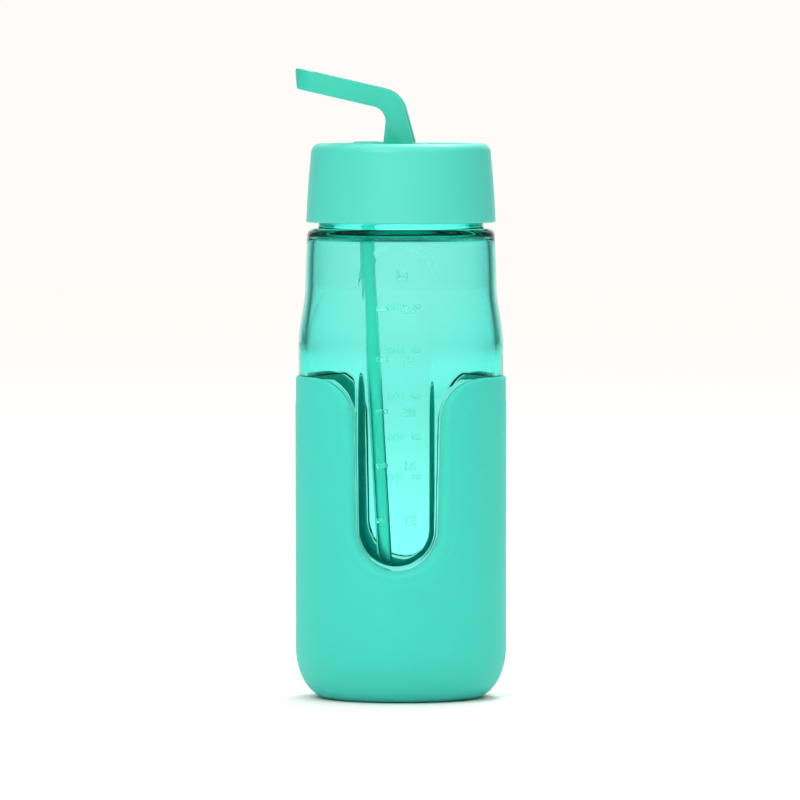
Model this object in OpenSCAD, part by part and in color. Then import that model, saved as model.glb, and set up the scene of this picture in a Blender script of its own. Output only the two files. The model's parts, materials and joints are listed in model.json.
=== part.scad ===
// Glass water bottle with a silicone sleeve, a screw lid, a flip spout on a straw and a carry handle.
// Millimetres, +Z up. The origin is the middle of the base, on the bottle's axis.
// The sleeve's windows face -Y and +Y, and the handle's arm reaches towards -X.

/* [Sleeve] */
// Outer radius of the silicone sleeve
sleeve_r = 44.85; // [44:0.05:46]
// Height of the sleeve's top edge
sleeve_top_z = 137; // [132:0.5:138]
// Wall thickness of the sleeve
sleeve_wall = 2.5; // [2:0.1:2.8]
// Radius of the flat foot under the sleeve
foot_r = 31; // [28:0.5:34]
// Height over which the sleeve's bottom corner rounds
corner_h = 22; // [18:1:26]
// Half the width of a window in the sleeve
window_half_w = 18; // [15:0.5:20]
// Height of the bottom of a window
window_bottom_z = 56.3; // [48:0.1:60]
// How much half a window's width grows from its round bottom up to its flares
window_taper = 1.1; // [0:0.1:2]
// Radius with which a window flares out into the sleeve's top edge
window_flare_r = 18.5; // [12:0.5:20]

/* [Glass] */
// Largest radius of the glass, above the sleeve and in the windows
glass_r = 43.55; // [43:0.05:43.8]
// Height at which the glass starts to draw in
bulge_top_z = 150; // [146:1:154]
// Height at which the glass has drawn in
waist_z = 175; // [168:1:180]
// Radius of the glass just above the draw-in
waist_r = 40.7; // [40:0.1:41.5]
// Radius of the glass just below the shoulder
shoulder_r = 39.9; // [39:0.1:40.5]
// Height of the flat top of the shoulder
shoulder_top_z = 199.5; // [198:0.1:200]
// Wall thickness of the glass under the sleeve
glass_wall = 2.5; // [2:0.1:3]
// Height of the inside floor of the glass
floor_z = 9; // [7:0.5:12]
// Half the width of the moulded panel on the front and the back
panel_half_w = 14.8; // [13:0.1:16]
// Height of the bottom end of the moulded panel
panel_bottom_z = 58.8; // [58:0.1:65]
// Height of the top end of the moulded panel
panel_top_z = 191.5; // [186:0.1:193]
// Depth of the moulded panel
panel_depth = 0.6; // [0.3:0.1:0.8]

/* [Neck] */
// Outer radius of the neck between its threads
neck_r = 33; // [32.6:0.1:33.1]
// Inner radius of the mouth
mouth_r = 29.5; // [28:0.5:30]
// Height of the mouth's rim
mouth_z = 216; // [215.5:0.1:216]
// Rise of the thread for one turn
thread_pitch = 5; // [4.8:0.1:5.2]
// How far a thread stands out from its wall
thread_depth = 1.6; // [1.2:0.1:1.7]

/* [Lid] */
// Radius of the lid at its bottom edge
lid_r = 40.25; // [40:0.05:41]
// Height of the lid's bottom edge
lid_bottom_z = 202; // [201.9:0.1:202.4]
// Height of the lid's rim
lid_top_z = 235.6; // [235:0.1:236.5]
// Radius of the rounded top edge of the lid
lid_edge_r = 4; // [3:0.5:4.5]
// Radius of the well in the lid that holds the folded spout
well_r = 31.5; // [30.5:0.1:31.6]
// Height of the well's floor
well_floor_z = 220.5; // [220:0.1:220.5]

/* [Spout and straw] */
// Distance of the straw's port from the axis, towards -X
port_x = -14.5; // [-15:0.1:-14]
// Height of the spout's hinge
spout_z = 229.4; // [229.4:0.1:229.8]
// Radius of the spout's hub
hub_r = 8.6; // [8:0.1:8.6]
// Half the width of the spout
spout_half_w = 7; // [6:0.1:7]
// Reach of the spout from its hinge to the end of its mouthpiece
spout_reach = 38.5; // [36:0.5:39]
// Outer radius of the straw
straw_r = 3.1; // [2.9:0.1:3.1]
// Inner radius of the straw, and of the channel in the spout
channel_r = 2.2; // [1.8:0.1:2.3]
// Height of the straw's lower end
straw_end_z = 12; // [11:1:30]
// Lean of the straw below the neck
straw_lean = 3.3; // [2:0.1:3.5]

/* [Handle] */
// Height of the handle's hinge
handle_z = 230.5; // [230:0.1:230.6]
// Distance of the handle's hinge from the axis, towards -X
handle_x = -1.2; // [-1.4:0.1:-1]
// Half the width of the handle
handle_half_w = 14.6; // [14:0.1:14.7]
// Half the width of the opening between the handle's legs
loop_half_w = 9.6; // [9.5:0.1:10]
// Rise of the handle's arm towards its tip
arm_rise = 13; // [11:0.5:14]
// Thickness of the handle's arm
arm_t = 8.4; // [7:0.1:9]
// How far the tip of the handle reaches from the axis
tip_reach = 44.5; // [42:0.1:44.8]
// Radius of the handle's two corners, seen from above
plan_corner_r = 9; // [7:0.5:10]
// Radius of the handle's hinge pins
handle_pin_r = 2; // [1.8:0.1:2.2]

/* [Hidden] */
$fn = 96;
mint = "#57d6c2";
mint_light = "#74e0cf";
glass_tint = [0.45, 0.9, 0.8, 0.4];
seal_white = "#e8efec";
pin_steel = "#b9bdbf";
// Steps in which a curved stretch of an outline is drawn
arc_steps = 12;
// Room left between pieces that touch without moving
fit_gap = 0.05;
// Room left between pieces that move past each other
run_gap = 0.3;
// Overlap that a cut or a joined boss has with its neighbour
lap = 0.5;
// Distance past both sides of the bottle that a cut through it runs
through = 100;
glass_side_r = sleeve_r - sleeve_wall - fit_gap;
glass_bottom_z = sleeve_wall + fit_gap;
glass_inner_r = glass_side_r - glass_wall;
// The glass steps out behind the sleeve's top edge, between these heights
recess_top_z = sleeve_top_z - 2;
step_top_z = sleeve_top_z - 0.8;
// Room between the edge of a window and the pad of glass in it
pad_margin = 1.4;
// Wall thickness of the glass at its waist
waist_wall = 3;
bead_top_z = shoulder_top_z + 2.3;
bead_r = 35;
gasket_t = 1.9;
deck_bottom_z = mouth_z + 2;
deck_r = well_r + 2;
liner_r = neck_r + thread_depth + 0.6;
thread_bottom_z = 206.5;
spigot_end_z = 209;
straw_top_z = spigot_end_z - 0.2;
straw_bend_z = 205;
straw_bend_r = 520;
// The coupler and the port's seal share one radius
seal_r = 5;
coupler_bottom_z = 203;
// Thickness of the deck left under the port's seal
seal_seat_h = 0.8;
spout_pin_r = 1.5;
spout_ear_w = [spout_half_w + 0.4, loop_half_w - 0.3];
ear_r = 4.5;
handle_ear_w = [handle_half_w + 0.4, handle_half_w + 3.4];
column_half_w = 6.8;
// Corner at which the handle's column starts to narrow, on its side towards the arm
handle_foot_x = -6.8;
handle_foot_z = 236.6;
// Depth of the handle's crossbar, and the radius of the opening's corners beside it
crossbar_t = 7;
opening_r = 4.5;
valve_stem_r = 1.6;
washer_r = 4.5;
washer_t = 0.95;
valve_pos = [16, 14];

// Points on an arc round c, of radius r, from angle a to angle b
function arc(c, r, a, b, steps = arc_steps) =
    [for (i = [0:steps]) let (t = a + (b - a) * i / steps) c + r * [cos(t), sin(t)]];

// Where two lines cross, each given by the angle of its normal and its distance from the origin
function crossing(a, da, b, db) =
    [da * sin(b) - db * sin(a), db * cos(a) - da * cos(b)] / sin(b - a);

// The rounded bottom corner from the foot to the side, as seen in a cut through the axis,
// moved inwards by inset: a quarter of an ellipse
function bottom_corner(inset) =
    [for (i = [0:arc_steps])
        let (t = 90 * i / arc_steps)
        [foot_r + (sleeve_r - foot_r - inset) * sin(t), inset + (corner_h - inset) * (1 - cos(t))]];

// A smooth step in radius from r0 at z0 to r1 at z1
function soft_step(r0, z0, r1, z1) =
    [for (i = [0:arc_steps])
        let (t = i / arc_steps)
        [r0 + (r1 - r0) * (1 - cos(180 * t)) / 2, z0 + (z1 - z0) * t]];

// Radius of the lid's side at height h above its bottom edge, which leans in more and more
function lid_side_r(h) = lid_r - 0.04 * h - 0.001 * h * h;

// Outline of a sleeve window, moved inwards by inset: a slot with a round bottom, whose sides
// open a little upwards, and whose top corners flare outwards
module window_outline(inset = 0) {
    half_w = window_half_w - inset;
    wide_w = half_w + window_taper;
    arc_z = window_bottom_z + window_half_w;
    flare_r = window_flare_r + inset;
    flare_z = sleeve_top_z - window_flare_r;
    top_z = sleeve_top_z + inset + lap;
    translate([0, arc_z]) circle(half_w);
    polygon([
        [-half_w, arc_z], [half_w, arc_z], [wide_w, flare_z],
        [wide_w, top_z], [-wide_w, top_z], [-wide_w, flare_z]
    ]);
    difference() {
        translate([-wide_w - flare_r, flare_z]) square([2 * (wide_w + flare_r), top_z - flare_z]);
        for (side = [-1, 1]) {
            translate([side * (wide_w + flare_r), flare_z]) circle(flare_r);
        }
    }
}

// A slot outline with two round ends, between the heights of its ends
module pill_outline(half_w, bottom_z, top_z) {
    translate([-half_w, bottom_z + half_w]) square([2 * half_w, top_z - bottom_z - 2 * half_w]);
    for (z = [bottom_z + half_w, top_z - half_w]) {
        translate([0, z]) circle(half_w);
    }
}

// Carries a drawing in X and Z through everything along Y, between y0 and y1
module along_y(y0 = -through, y1 = through) {
    translate([0, y1, 0]) rotate([90, 0, 0]) linear_extrude(height = y1 - y0) children();
}

// The same drawing on both sides of the middle, between two distances from it
module both_sides(span) {
    for (side = [-1, 1]) {
        along_y(min(side * span[0], side * span[1]), max(side * span[0], side * span[1])) children();
    }
}

// A helical ridge: from wall radius r it reaches by depth outwards, or inwards if depth is
// negative, and runs for some turns from height z0
module thread_ridge(r, depth, base_w, crest_w, z0, turns) {
    step = 7.5;
    rings = floor(360 * turns / step);
    out = depth > 0 ? 1 : -1;
    section = [
        [r - out * 0.4, -base_w / 2], [r - out * 0.4, base_w / 2],
        [r + depth, crest_w / 2], [r + depth, -crest_w / 2]
    ];
    points = [for (i = [0:rings], p = section)
        let (a = i * step, grow = min(1, (i + 0.5) / 4, (rings - i + 0.5) / 4))
        let (q = section[0][0] + (p[0] - section[0][0]) * grow)
        [q * cos(a), q * sin(a), z0 + thread_pitch * a / 360 + p[1]]];
    sides = [for (i = [0:rings - 1], k = [0:3])
        let (j = (k + 1) % 4)
        [4 * i + k, 4 * i + j, 4 * (i + 1) + j, 4 * (i + 1) + k]];
    ends = [[3, 2, 1, 0], [4 * rings, 4 * rings + 1, 4 * rings + 2, 4 * rings + 3]];
    faces = [for (f = concat(sides, ends)) out < 0 ? f : [f[3], f[2], f[1], f[0]]];
    polyhedron(points = points, faces = faces);
}

// Outside of the glass from its bottom to its mouth, moved inwards by inset on the sides
function glass_outside(inset = 0) = concat(
    [[0, glass_bottom_z + 1.5], [22, glass_bottom_z + 1.5], [26, glass_bottom_z]],
    bottom_corner(glass_bottom_z + inset),
    [[glass_side_r - inset, recess_top_z]],
    [[glass_r - inset, step_top_z]],
    soft_step(glass_r - inset, bulge_top_z, waist_r - inset, waist_z),
    arc([shoulder_r - inset - 3, shoulder_top_z - 3], 3, 0, 90, 6),
    [[bead_r, shoulder_top_z], [bead_r, bead_top_z - 0.6], [bead_r - 0.6, bead_top_z]],
    [[neck_r, bead_top_z], [neck_r, mouth_z - 0.8], [neck_r - 0.8, mouth_z], [0, mouth_z]]
);

function glass_inside() = concat(
    [[0, floor_z]],
    arc([glass_inner_r - 14, floor_z + 14], 14, -90, 0),
    soft_step(glass_inner_r, sleeve_top_z - 8, glass_inner_r + 0.4, bulge_top_z),
    soft_step(glass_inner_r + 0.4, bulge_top_z, waist_r - waist_wall, waist_z),
    arc([shoulder_r - 9, shoulder_top_z - 9.5], 6, 0, 60, 6),
    [[mouth_r, shoulder_top_z + 1.5], [mouth_r, mouth_z - 0.6], [mouth_r + 0.6, mouth_z + lap]],
    [[0, mouth_z + lap]]
);

module glass_bottle() color(glass_tint) {
    difference() {
        union() {
            rotate_extrude() polygon(glass_outside());
            // The pads that fill the sleeve's windows
            intersection() {
                rotate_extrude() polygon([
                    [glass_side_r - lap, window_bottom_z - 2], [glass_r, window_bottom_z - 2],
                    [glass_r, step_top_z], [glass_side_r - lap, step_top_z]
                ]);
                along_y() window_outline(pad_margin);
            }
            thread_ridge(neck_r, thread_depth, 2.6, 1.2, thread_bottom_z, 1.25);
        }
        rotate_extrude() polygon(glass_inside());
        // The moulded panels
        intersection() {
            along_y() pill_outline(panel_half_w, panel_bottom_z, panel_top_z);
            difference() {
                cylinder(r = glass_r + 5, h = shoulder_top_z);
                translate([0, 0, -1]) cylinder(r = glass_r - panel_depth, h = bulge_top_z + 1);
                rotate_extrude() polygon(concat(
                    [[0, bulge_top_z - 1]],
                    soft_step(glass_r - panel_depth, bulge_top_z - 1, waist_r - panel_depth, waist_z),
                    [[shoulder_r - panel_depth, shoulder_top_z + 1], [0, shoulder_top_z + 1]]
                ));
            }
        }
    }
}

module silicone_sleeve() color(mint) {
    difference() {
        rotate_extrude() polygon(concat(
            [[0, 0]],
            bottom_corner(0),
            arc([sleeve_r - 0.9, sleeve_top_z - 0.9], 0.9, 0, 90, 6),
            [[glass_r + fit_gap, sleeve_top_z], [glass_r + fit_gap, step_top_z]],
            [[sleeve_r - sleeve_wall, recess_top_z], [sleeve_r - sleeve_wall, corner_h]],
            [for (i = [1:arc_steps]) bottom_corner(sleeve_wall)[arc_steps - i]],
            [[0, sleeve_wall]]
        ));
        along_y() window_outline();
    }
}

module lid_gasket() color(seal_white) {
    translate([0, 0, mouth_z + fit_gap]) difference() {
        cylinder(r = liner_r - 0.4, h = gasket_t);
        translate([0, 0, -lap]) cylinder(r = mouth_r - 1, h = gasket_t + 2 * lap);
    }
}

// Outer skin of the lid: a domed skirt, a rounded rim and the wall of the well
module lid_shell() color(mint) {
    side_top = lid_top_z - lid_edge_r;
    side_top_r = lid_side_r(side_top - lid_bottom_z);
    skirt_r = liner_r + 2.3;
    rotate_extrude() polygon(concat(
        [for (i = [0:arc_steps])
            let (h = (side_top - lid_bottom_z) * i / arc_steps) [lid_side_r(h), lid_bottom_z + h]],
        arc([side_top_r - lid_edge_r, side_top], lid_edge_r, 0, 90),
        arc([well_r + 0.9, lid_top_z - 0.9], 0.9, 90, 180, 6),
        [[well_r, well_floor_z + fit_gap], [deck_r + 0.2, well_floor_z + fit_gap]],
        [[deck_r + 0.2, side_top - 0.5], [deck_r + 1.4, side_top + 0.7]],
        [[side_top_r - 2, side_top - 0.5], [lid_side_r(19) - 2.4, lid_bottom_z + 19]],
        [[skirt_r, lid_bottom_z + 18.5], [skirt_r, lid_bottom_z + 0.8], [skirt_r + 0.8, lid_bottom_z]]
    ));
}

// Threaded insert that screws onto the neck
module lid_liner() color(mint_light) {
    difference() {
        translate([0, 0, lid_bottom_z + 0.6]) {
            cylinder(r = liner_r + 2.2, h = well_floor_z - lid_bottom_z - 0.6);
        }
        translate([0, 0, lid_bottom_z]) cylinder(r = liner_r, h = deck_bottom_z - lid_bottom_z);
        translate([0, 0, lid_bottom_z]) cylinder(r = deck_r + fit_gap, h = 30);
    }
    thread_ridge(liner_r, -thread_depth, 2.2, 0.9, thread_bottom_z - 2.2, 1);
}

// Floor of the well with the ears of both hinges, the straw's port and its spigot
module lid_deck() color(mint_light) {
    difference() {
        union() {
            translate([0, 0, deck_bottom_z]) cylinder(r = deck_r, h = well_floor_z - deck_bottom_z);
            translate([port_x, 0, spigot_end_z]) cylinder(r = straw_r, h = deck_bottom_z - spigot_end_z + lap);
            both_sides(spout_ear_w) ear_outline(port_x, spout_z);
            both_sides(handle_ear_w) ear_outline(handle_x, handle_z);
        }
        translate([port_x, 0, spigot_end_z - 1]) cylinder(r = channel_r, h = 20);
        translate([port_x, 0, deck_bottom_z + seal_seat_h]) cylinder(r = seal_r + fit_gap, h = 10);
        along_y() translate([port_x, spout_z]) circle(spout_pin_r);
        along_y() translate([handle_x, handle_z]) circle(handle_pin_r);
        translate([valve_pos[0], valve_pos[1], deck_bottom_z - 1]) cylinder(r = valve_stem_r + 2 * fit_gap, h = 5);
    }
}

// Side view of a hinge ear: a post on the well's floor with a round top
module ear_outline(x, z) {
    translate([x, z]) circle(ear_r);
    translate([x - ear_r, well_floor_z - lap]) square([2 * ear_r, z - well_floor_z + lap]);
}

// Silicone tube that holds the straw on the deck's spigot
module straw_coupler() color(seal_white) {
    translate([port_x, 0, coupler_bottom_z]) difference() {
        cylinder(r = seal_r, h = deck_bottom_z - fit_gap - coupler_bottom_z);
        translate([0, 0, -1]) cylinder(r = straw_r, h = 20);
    }
}

// The straw's middle line as [x, z, lean]: straight down from the spigot, a slight bend in the
// neck, then straight to just above the floor
function straw_line() =
    let (
        bend = [for (i = [0:4]) let (a = straw_lean * i / 4)
            [port_x + straw_bend_r * (1 - cos(a)), straw_bend_z - straw_bend_r * sin(a), a]],
        drop = bend[4][1] - straw_end_z
    )
    concat(
        [[port_x, straw_top_z, 0]],
        bend,
        [[bend[4][0] + drop * tan(straw_lean), straw_end_z, straw_lean]]
    );

// The straw: one tube swept along its middle line
module straw() color(mint) {
    line = straw_line();
    sides = 32;
    last = len(line) - 1;
    points = [for (r = [straw_r, channel_r], p = line, k = [0:sides - 1])
        let (a = 360 * k / sides)
        [p[0] + r * cos(a) * cos(p[2]), r * sin(a), p[1] + r * cos(a) * sin(p[2])]];
    // Index of corner k on ring i of the outer wall (w = 0) or the inner wall (w = 1)
    at = function (w, i, k) (w * (last + 1) + i) * sides + k % sides;
    outer = [for (i = [0:last - 1], k = [0:sides - 1])
        [at(0, i, k), at(0, i, k + 1), at(0, i + 1, k + 1), at(0, i + 1, k)]];
    inner = [for (i = [0:last - 1], k = [0:sides - 1])
        [at(1, i, k + 1), at(1, i, k), at(1, i + 1, k), at(1, i + 1, k + 1)]];
    top = [for (k = [0:sides - 1]) [at(0, 0, k + 1), at(0, 0, k), at(1, 0, k), at(1, 0, k + 1)]];
    end = [for (k = [0:sides - 1])
        [at(0, last, k), at(0, last, k + 1), at(1, last, k + 1), at(1, last, k)]];
    polyhedron(points = points, faces = concat(outer, inner, top, end));
}

// Umbrella valve that lets air in while someone drinks
module vent_valve() color(seal_white) {
    translate([valve_pos[0], valve_pos[1], 0]) {
        translate([0, 0, deck_bottom_z - 1.2]) cylinder(r1 = 4.5, r2 = 3.6, h = 1.15);
        translate([0, 0, deck_bottom_z - 0.5]) cylinder(r = valve_stem_r, h = 3.4);
        translate([0, 0, well_floor_z + fit_gap]) cylinder(r = 2.6, h = 0.9);
    }
}

// Saddle-shaped seal between the port and the spout's hub
module spout_seal() color(seal_white) {
    difference() {
        translate([port_x, 0, deck_bottom_z + seal_seat_h]) cylinder(r = seal_r, h = 3.6);
        translate([port_x, 0, deck_bottom_z]) cylinder(r = channel_r, h = 10);
        along_y() translate([port_x, spout_z]) circle(hub_r + run_gap);
    }
}

module spout_pins() color(pin_steel) {
    both_sides([4, spout_ear_w[1]]) translate([port_x, spout_z]) circle(spout_pin_r);
}

module handle_pins() color(pin_steel) {
    both_sides([loop_half_w + 0.2, handle_ear_w[1]]) translate([handle_x, handle_z]) circle(handle_pin_r);
}

// Side view of the handle: a hub, a column that narrows upwards, a bend, and a rising arm. Each
// line is given by the angle of its normal (n) and its distance from the origin (d).
function handle_outline() =
    let (
        top_n = 90 - arm_rise,
        top_d = 250.7,
        right_n = 12,
        right_d = 53.9,
        left_n = 173.4,
        left_d = 33.94,
        tip_n = 186.3,
        outer_r = 12,
        inner_r = 6.5,
        tip_r = 1,
        outer_c = crossing(right_n, right_d - outer_r, top_n, top_d - outer_r),
        inner_c = crossing(top_n, top_d - arm_t - inner_r, left_n, left_d + inner_r),
        tip_x = tip_r - tip_reach,
        tip_top = [tip_x, (top_d - tip_r - tip_x * cos(top_n)) / sin(top_n)],
        tip_d = tip_top * [cos(tip_n), sin(tip_n)],
        tip_low = crossing(top_n, top_d - arm_t + tip_r, tip_n, tip_d)
    )
    concat(
        [[handle_x + column_half_w, handle_z], [handle_x + column_half_w, handle_foot_z]],
        arc(outer_c, outer_r, right_n, top_n),
        arc(tip_top, tip_r, top_n, tip_n, 6),
        arc(tip_low, tip_r, tip_n, 270 - arm_rise, 6),
        arc(inner_c, inner_r, top_n, left_n - 180),
        [[handle_foot_x, handle_foot_z], [handle_foot_x, handle_z]]
    );

module carry_handle() color(mint) {
    difference() {
        intersection() {
            along_y(-handle_half_w, handle_half_w) {
                polygon(handle_outline());
                translate([handle_x, handle_z]) circle(column_half_w);
            }
            // Rounded corners of the crossbar, seen from above
            linear_extrude(height = 300) {
                translate([plan_corner_r - tip_reach, -handle_half_w]) square([70, 2 * handle_half_w]);
                translate([-tip_reach, plan_corner_r - handle_half_w]) {
                    square([20, 2 * (handle_half_w - plan_corner_r)]);
                }
                for (side = [-1, 1]) {
                    translate([plan_corner_r - tip_reach, side * (handle_half_w - plan_corner_r)]) {
                        circle(plan_corner_r);
                    }
                }
            }
        }
        // The opening between the legs
        linear_extrude(height = 300) {
            translate([opening_r + crossbar_t - tip_reach, -loop_half_w]) {
                square([70, 2 * loop_half_w]);
            }
            translate([crossbar_t - tip_reach, opening_r - loop_half_w]) {
                square([20, 2 * (loop_half_w - opening_r)]);
            }
            for (side = [-1, 1]) {
                translate([opening_r + crossbar_t - tip_reach, side * (loop_half_w - opening_r)]) {
                    circle(opening_r);
                }
            }
        }
        along_y() translate([handle_x, handle_z]) circle(handle_pin_r + fit_gap);
        both_sides([handle_half_w - 0.6, handle_half_w + 1]) {
            translate([handle_x, handle_z]) circle(washer_r + 0.1);
        }
    }
}

// Rubber washers that let the handle stay where it is put
module handle_washers() color("#3c4a48") {
    both_sides([handle_half_w - 0.6, handle_half_w - 0.6 + washer_t]) {
        translate([handle_x, handle_z]) difference() {
            circle(washer_r);
            circle(handle_pin_r + fit_gap);
        }
    }
}

// Hub and arm of the spout, folded down towards +X, with the channel through both
module spout_body() color(mint) {
    top_h = 7;
    arm_end = 26;
    nose_r = 3.9;
    translate([port_x, 0, spout_z]) difference() {
        union() {
            along_y(-spout_half_w, spout_half_w) intersection() {
                union() {
                    circle(hub_r);
                    polygon([
                        [0, top_h], [arm_end, top_h - 0.9], [arm_end, -5.4], [arm_end - 2, -5.9],
                        [8, -6.4], [0, -hub_r]
                    ]);
                }
                translate([-20, -20]) square([80, 20 + top_h]);
            }
            rotate([0, 90, 0]) cylinder(r = nose_r, h = spout_reach - 3);
        }
        translate([-20, 0, 0]) rotate([0, 90, 0]) cylinder(r = channel_r, h = 80);
        both_sides([4 - run_gap, spout_half_w + 1]) circle(spout_pin_r + fit_gap);
    }
}

// Soft silicone mouthpiece on the spout's nose
module mouthpiece() color(mint_light) {
    translate([port_x + 26 + fit_gap, 0, spout_z]) rotate([0, 90, 0]) {
        rotate_extrude() polygon(concat(
            [[3.9, 0], [5.6, 0]],
            soft_step(5.6, 1, 5.1, 6),
            arc([4.4, 11], 1.4, 0, 180, 8),
            [[3, 9.5 + fit_gap], [3.9, 9.5 + fit_gap]]
        ));
    }
}

glass_bottle();
silicone_sleeve();
lid_gasket();
lid_shell();
lid_liner();
lid_deck();
straw_coupler();
straw();
vent_valve();
spout_seal();
spout_pins();
handle_pins();
carry_handle();
handle_washers();
spout_body();
mouthpiece();
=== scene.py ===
import json
import math

import bmesh
import bpy
from mathutils import Matrix, Vector

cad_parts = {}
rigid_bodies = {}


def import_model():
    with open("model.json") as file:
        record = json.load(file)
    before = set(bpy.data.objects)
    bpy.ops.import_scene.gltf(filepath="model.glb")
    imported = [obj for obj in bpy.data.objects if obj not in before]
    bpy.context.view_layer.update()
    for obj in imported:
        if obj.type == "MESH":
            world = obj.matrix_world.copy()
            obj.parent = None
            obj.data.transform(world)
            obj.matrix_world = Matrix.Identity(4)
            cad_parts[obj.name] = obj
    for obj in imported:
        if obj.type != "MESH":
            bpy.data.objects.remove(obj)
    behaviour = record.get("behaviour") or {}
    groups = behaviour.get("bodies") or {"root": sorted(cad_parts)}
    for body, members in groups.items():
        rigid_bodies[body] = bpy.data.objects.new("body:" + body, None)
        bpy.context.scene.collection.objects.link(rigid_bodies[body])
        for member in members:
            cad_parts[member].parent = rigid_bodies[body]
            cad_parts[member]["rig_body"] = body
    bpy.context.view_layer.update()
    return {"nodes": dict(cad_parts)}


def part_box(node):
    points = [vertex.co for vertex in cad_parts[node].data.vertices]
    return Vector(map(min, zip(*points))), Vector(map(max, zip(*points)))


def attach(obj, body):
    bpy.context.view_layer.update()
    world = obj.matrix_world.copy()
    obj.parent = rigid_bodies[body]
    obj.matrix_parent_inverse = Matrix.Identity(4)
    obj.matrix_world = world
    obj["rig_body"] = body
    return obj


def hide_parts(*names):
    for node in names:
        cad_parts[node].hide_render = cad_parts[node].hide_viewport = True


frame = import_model()


# ---------------------------------------------------------------------------------------------
# Camera. A long lens from a few metres away, a little above the lid and a touch to the right, so
# the bottle's sides stand nearly parallel and its round edges show as shallow curves.

CAMERA_DISTANCE = 3.42
CAMERA_HEIGHT = 0.269
CAMERA_AZIMUTH = math.radians(2.5)
AIM = Vector((-0.0004, 0.0, 0.1265))
VIEW_WIDTH = 0.340
SENSOR_MM = 36.0

camera_data = bpy.data.cameras.new("camera")
camera = bpy.data.objects.new("camera", camera_data)
bpy.context.scene.collection.objects.link(camera)
camera.location = (
    CAMERA_DISTANCE * math.sin(CAMERA_AZIMUTH),
    -CAMERA_DISTANCE * math.cos(CAMERA_AZIMUTH),
    CAMERA_HEIGHT,
)
sight = AIM - camera.location
camera.rotation_euler = sight.to_track_quat("-Z", "Y").to_euler()
camera_data.sensor_width = SENSOR_MM
camera_data.lens = SENSOR_MM * sight.length / VIEW_WIDTH
bpy.context.scene.camera = camera
bpy.context.scene.view_settings.view_transform = "Standard"


# ---------------------------------------------------------------------------------------------
# Studio. A pale floor, a white field all round, a broad soft light overhead, two soft lamps in
# front and one behind. Floor and field grow darker to both sides, and that gives the glass its
# dark edges.

FLOOR_HALF_SIZE = 6.0
FLOOR_WHITE = "#eae9e8"
FLOOR_SIDE = "#6f6d6b"
FLOOR_FADE_FROM = 0.85
FLOOR_FADE_TO = 2.6
BACK_FIELD = 1.0
FRONT_FIELD = 0.95
SIDE_FIELD = 0.22
FIELD_FADE_FROM = 0.28
FIELD_FADE_TO = 0.6
OVERHEAD = 2.0
OVERHEAD_FROM = 0.62
OVERHEAD_TO = 0.8
LAMP_AIM = Vector((0, 0, 0.13))
VIEW_TURN = math.sin(CAMERA_AZIMUTH)


def linear(hex_colour):
    """An sRGB hex colour as the linear numbers that a shader's socket takes."""
    values = [int(hex_colour[i:i + 2], 16) / 255 for i in (1, 3, 5)]
    curve = [v / 12.92 if v <= 0.04045 else ((v + 0.055) / 1.055) ** 2.4 for v in values]
    return (*curve, 1.0)


def add_node(tree, kind, settings=None, inputs=None):
    """A new node of that kind, with its settings, and its inputs set to values or linked."""
    node = tree.nodes.new(kind)
    for name, value in (settings or {}).items():
        setattr(node, name, value)
    for name, value in (inputs or {}).items():
        socket = node.inputs[name]
        if isinstance(value, bpy.types.NodeSocket):
            tree.links.new(value, socket)
        else:
            socket.default_value = value
    return node


def new_material(name):
    """An empty material, as its node tree and its output node."""
    material = bpy.data.materials.new(name)
    material.use_nodes = True
    material.node_tree.nodes.clear()
    return material, material.node_tree


world = bpy.data.worlds.new("studio")
bpy.context.scene.world = world
world.use_nodes = True
sky = world.node_tree
sky.nodes.clear()
direction = add_node(sky, "ShaderNodeTexCoord")
parts = add_node(sky, "ShaderNodeSeparateXYZ", inputs={0: direction.outputs["Generated"]})
centred = add_node(sky, "ShaderNodeMath", {"operation": "ADD"}, {0: parts.outputs["X"], 1: VIEW_TURN})
sideways = add_node(sky, "ShaderNodeMath", {"operation": "ABSOLUTE"}, {0: centred.outputs[0]})
to_the_side = add_node(sky, "ShaderNodeMapRange", {"interpolation_type": "SMOOTHSTEP"}, {
    "Value": sideways.outputs[0], "From Min": FIELD_FADE_FROM, "From Max": FIELD_FADE_TO,
})
front_to_back = add_node(sky, "ShaderNodeMapRange", inputs={
    "Value": parts.outputs["Y"],
    "From Min": -0.2, "From Max": 0.2, "To Min": FRONT_FIELD, "To Max": BACK_FIELD,
})
around = add_node(sky, "ShaderNodeMix", inputs={
    "Factor": to_the_side.outputs["Result"], "A": front_to_back.outputs["Result"], "B": SIDE_FIELD,
})
upwards = add_node(sky, "ShaderNodeMapRange", {"interpolation_type": "SMOOTHSTEP"}, {
    "Value": parts.outputs["Z"], "From Min": OVERHEAD_FROM, "From Max": OVERHEAD_TO,
})
brightness = add_node(sky, "ShaderNodeMix", inputs={
    "Factor": upwards.outputs["Result"], "A": around.outputs["Result"], "B": OVERHEAD,
})
surround = add_node(sky, "ShaderNodeBackground", inputs={
    "Color": linear("#fffbf8"), "Strength": brightness.outputs["Result"],
})
add_node(sky, "ShaderNodeOutputWorld", inputs={"Surface": surround.outputs[0]})

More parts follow.
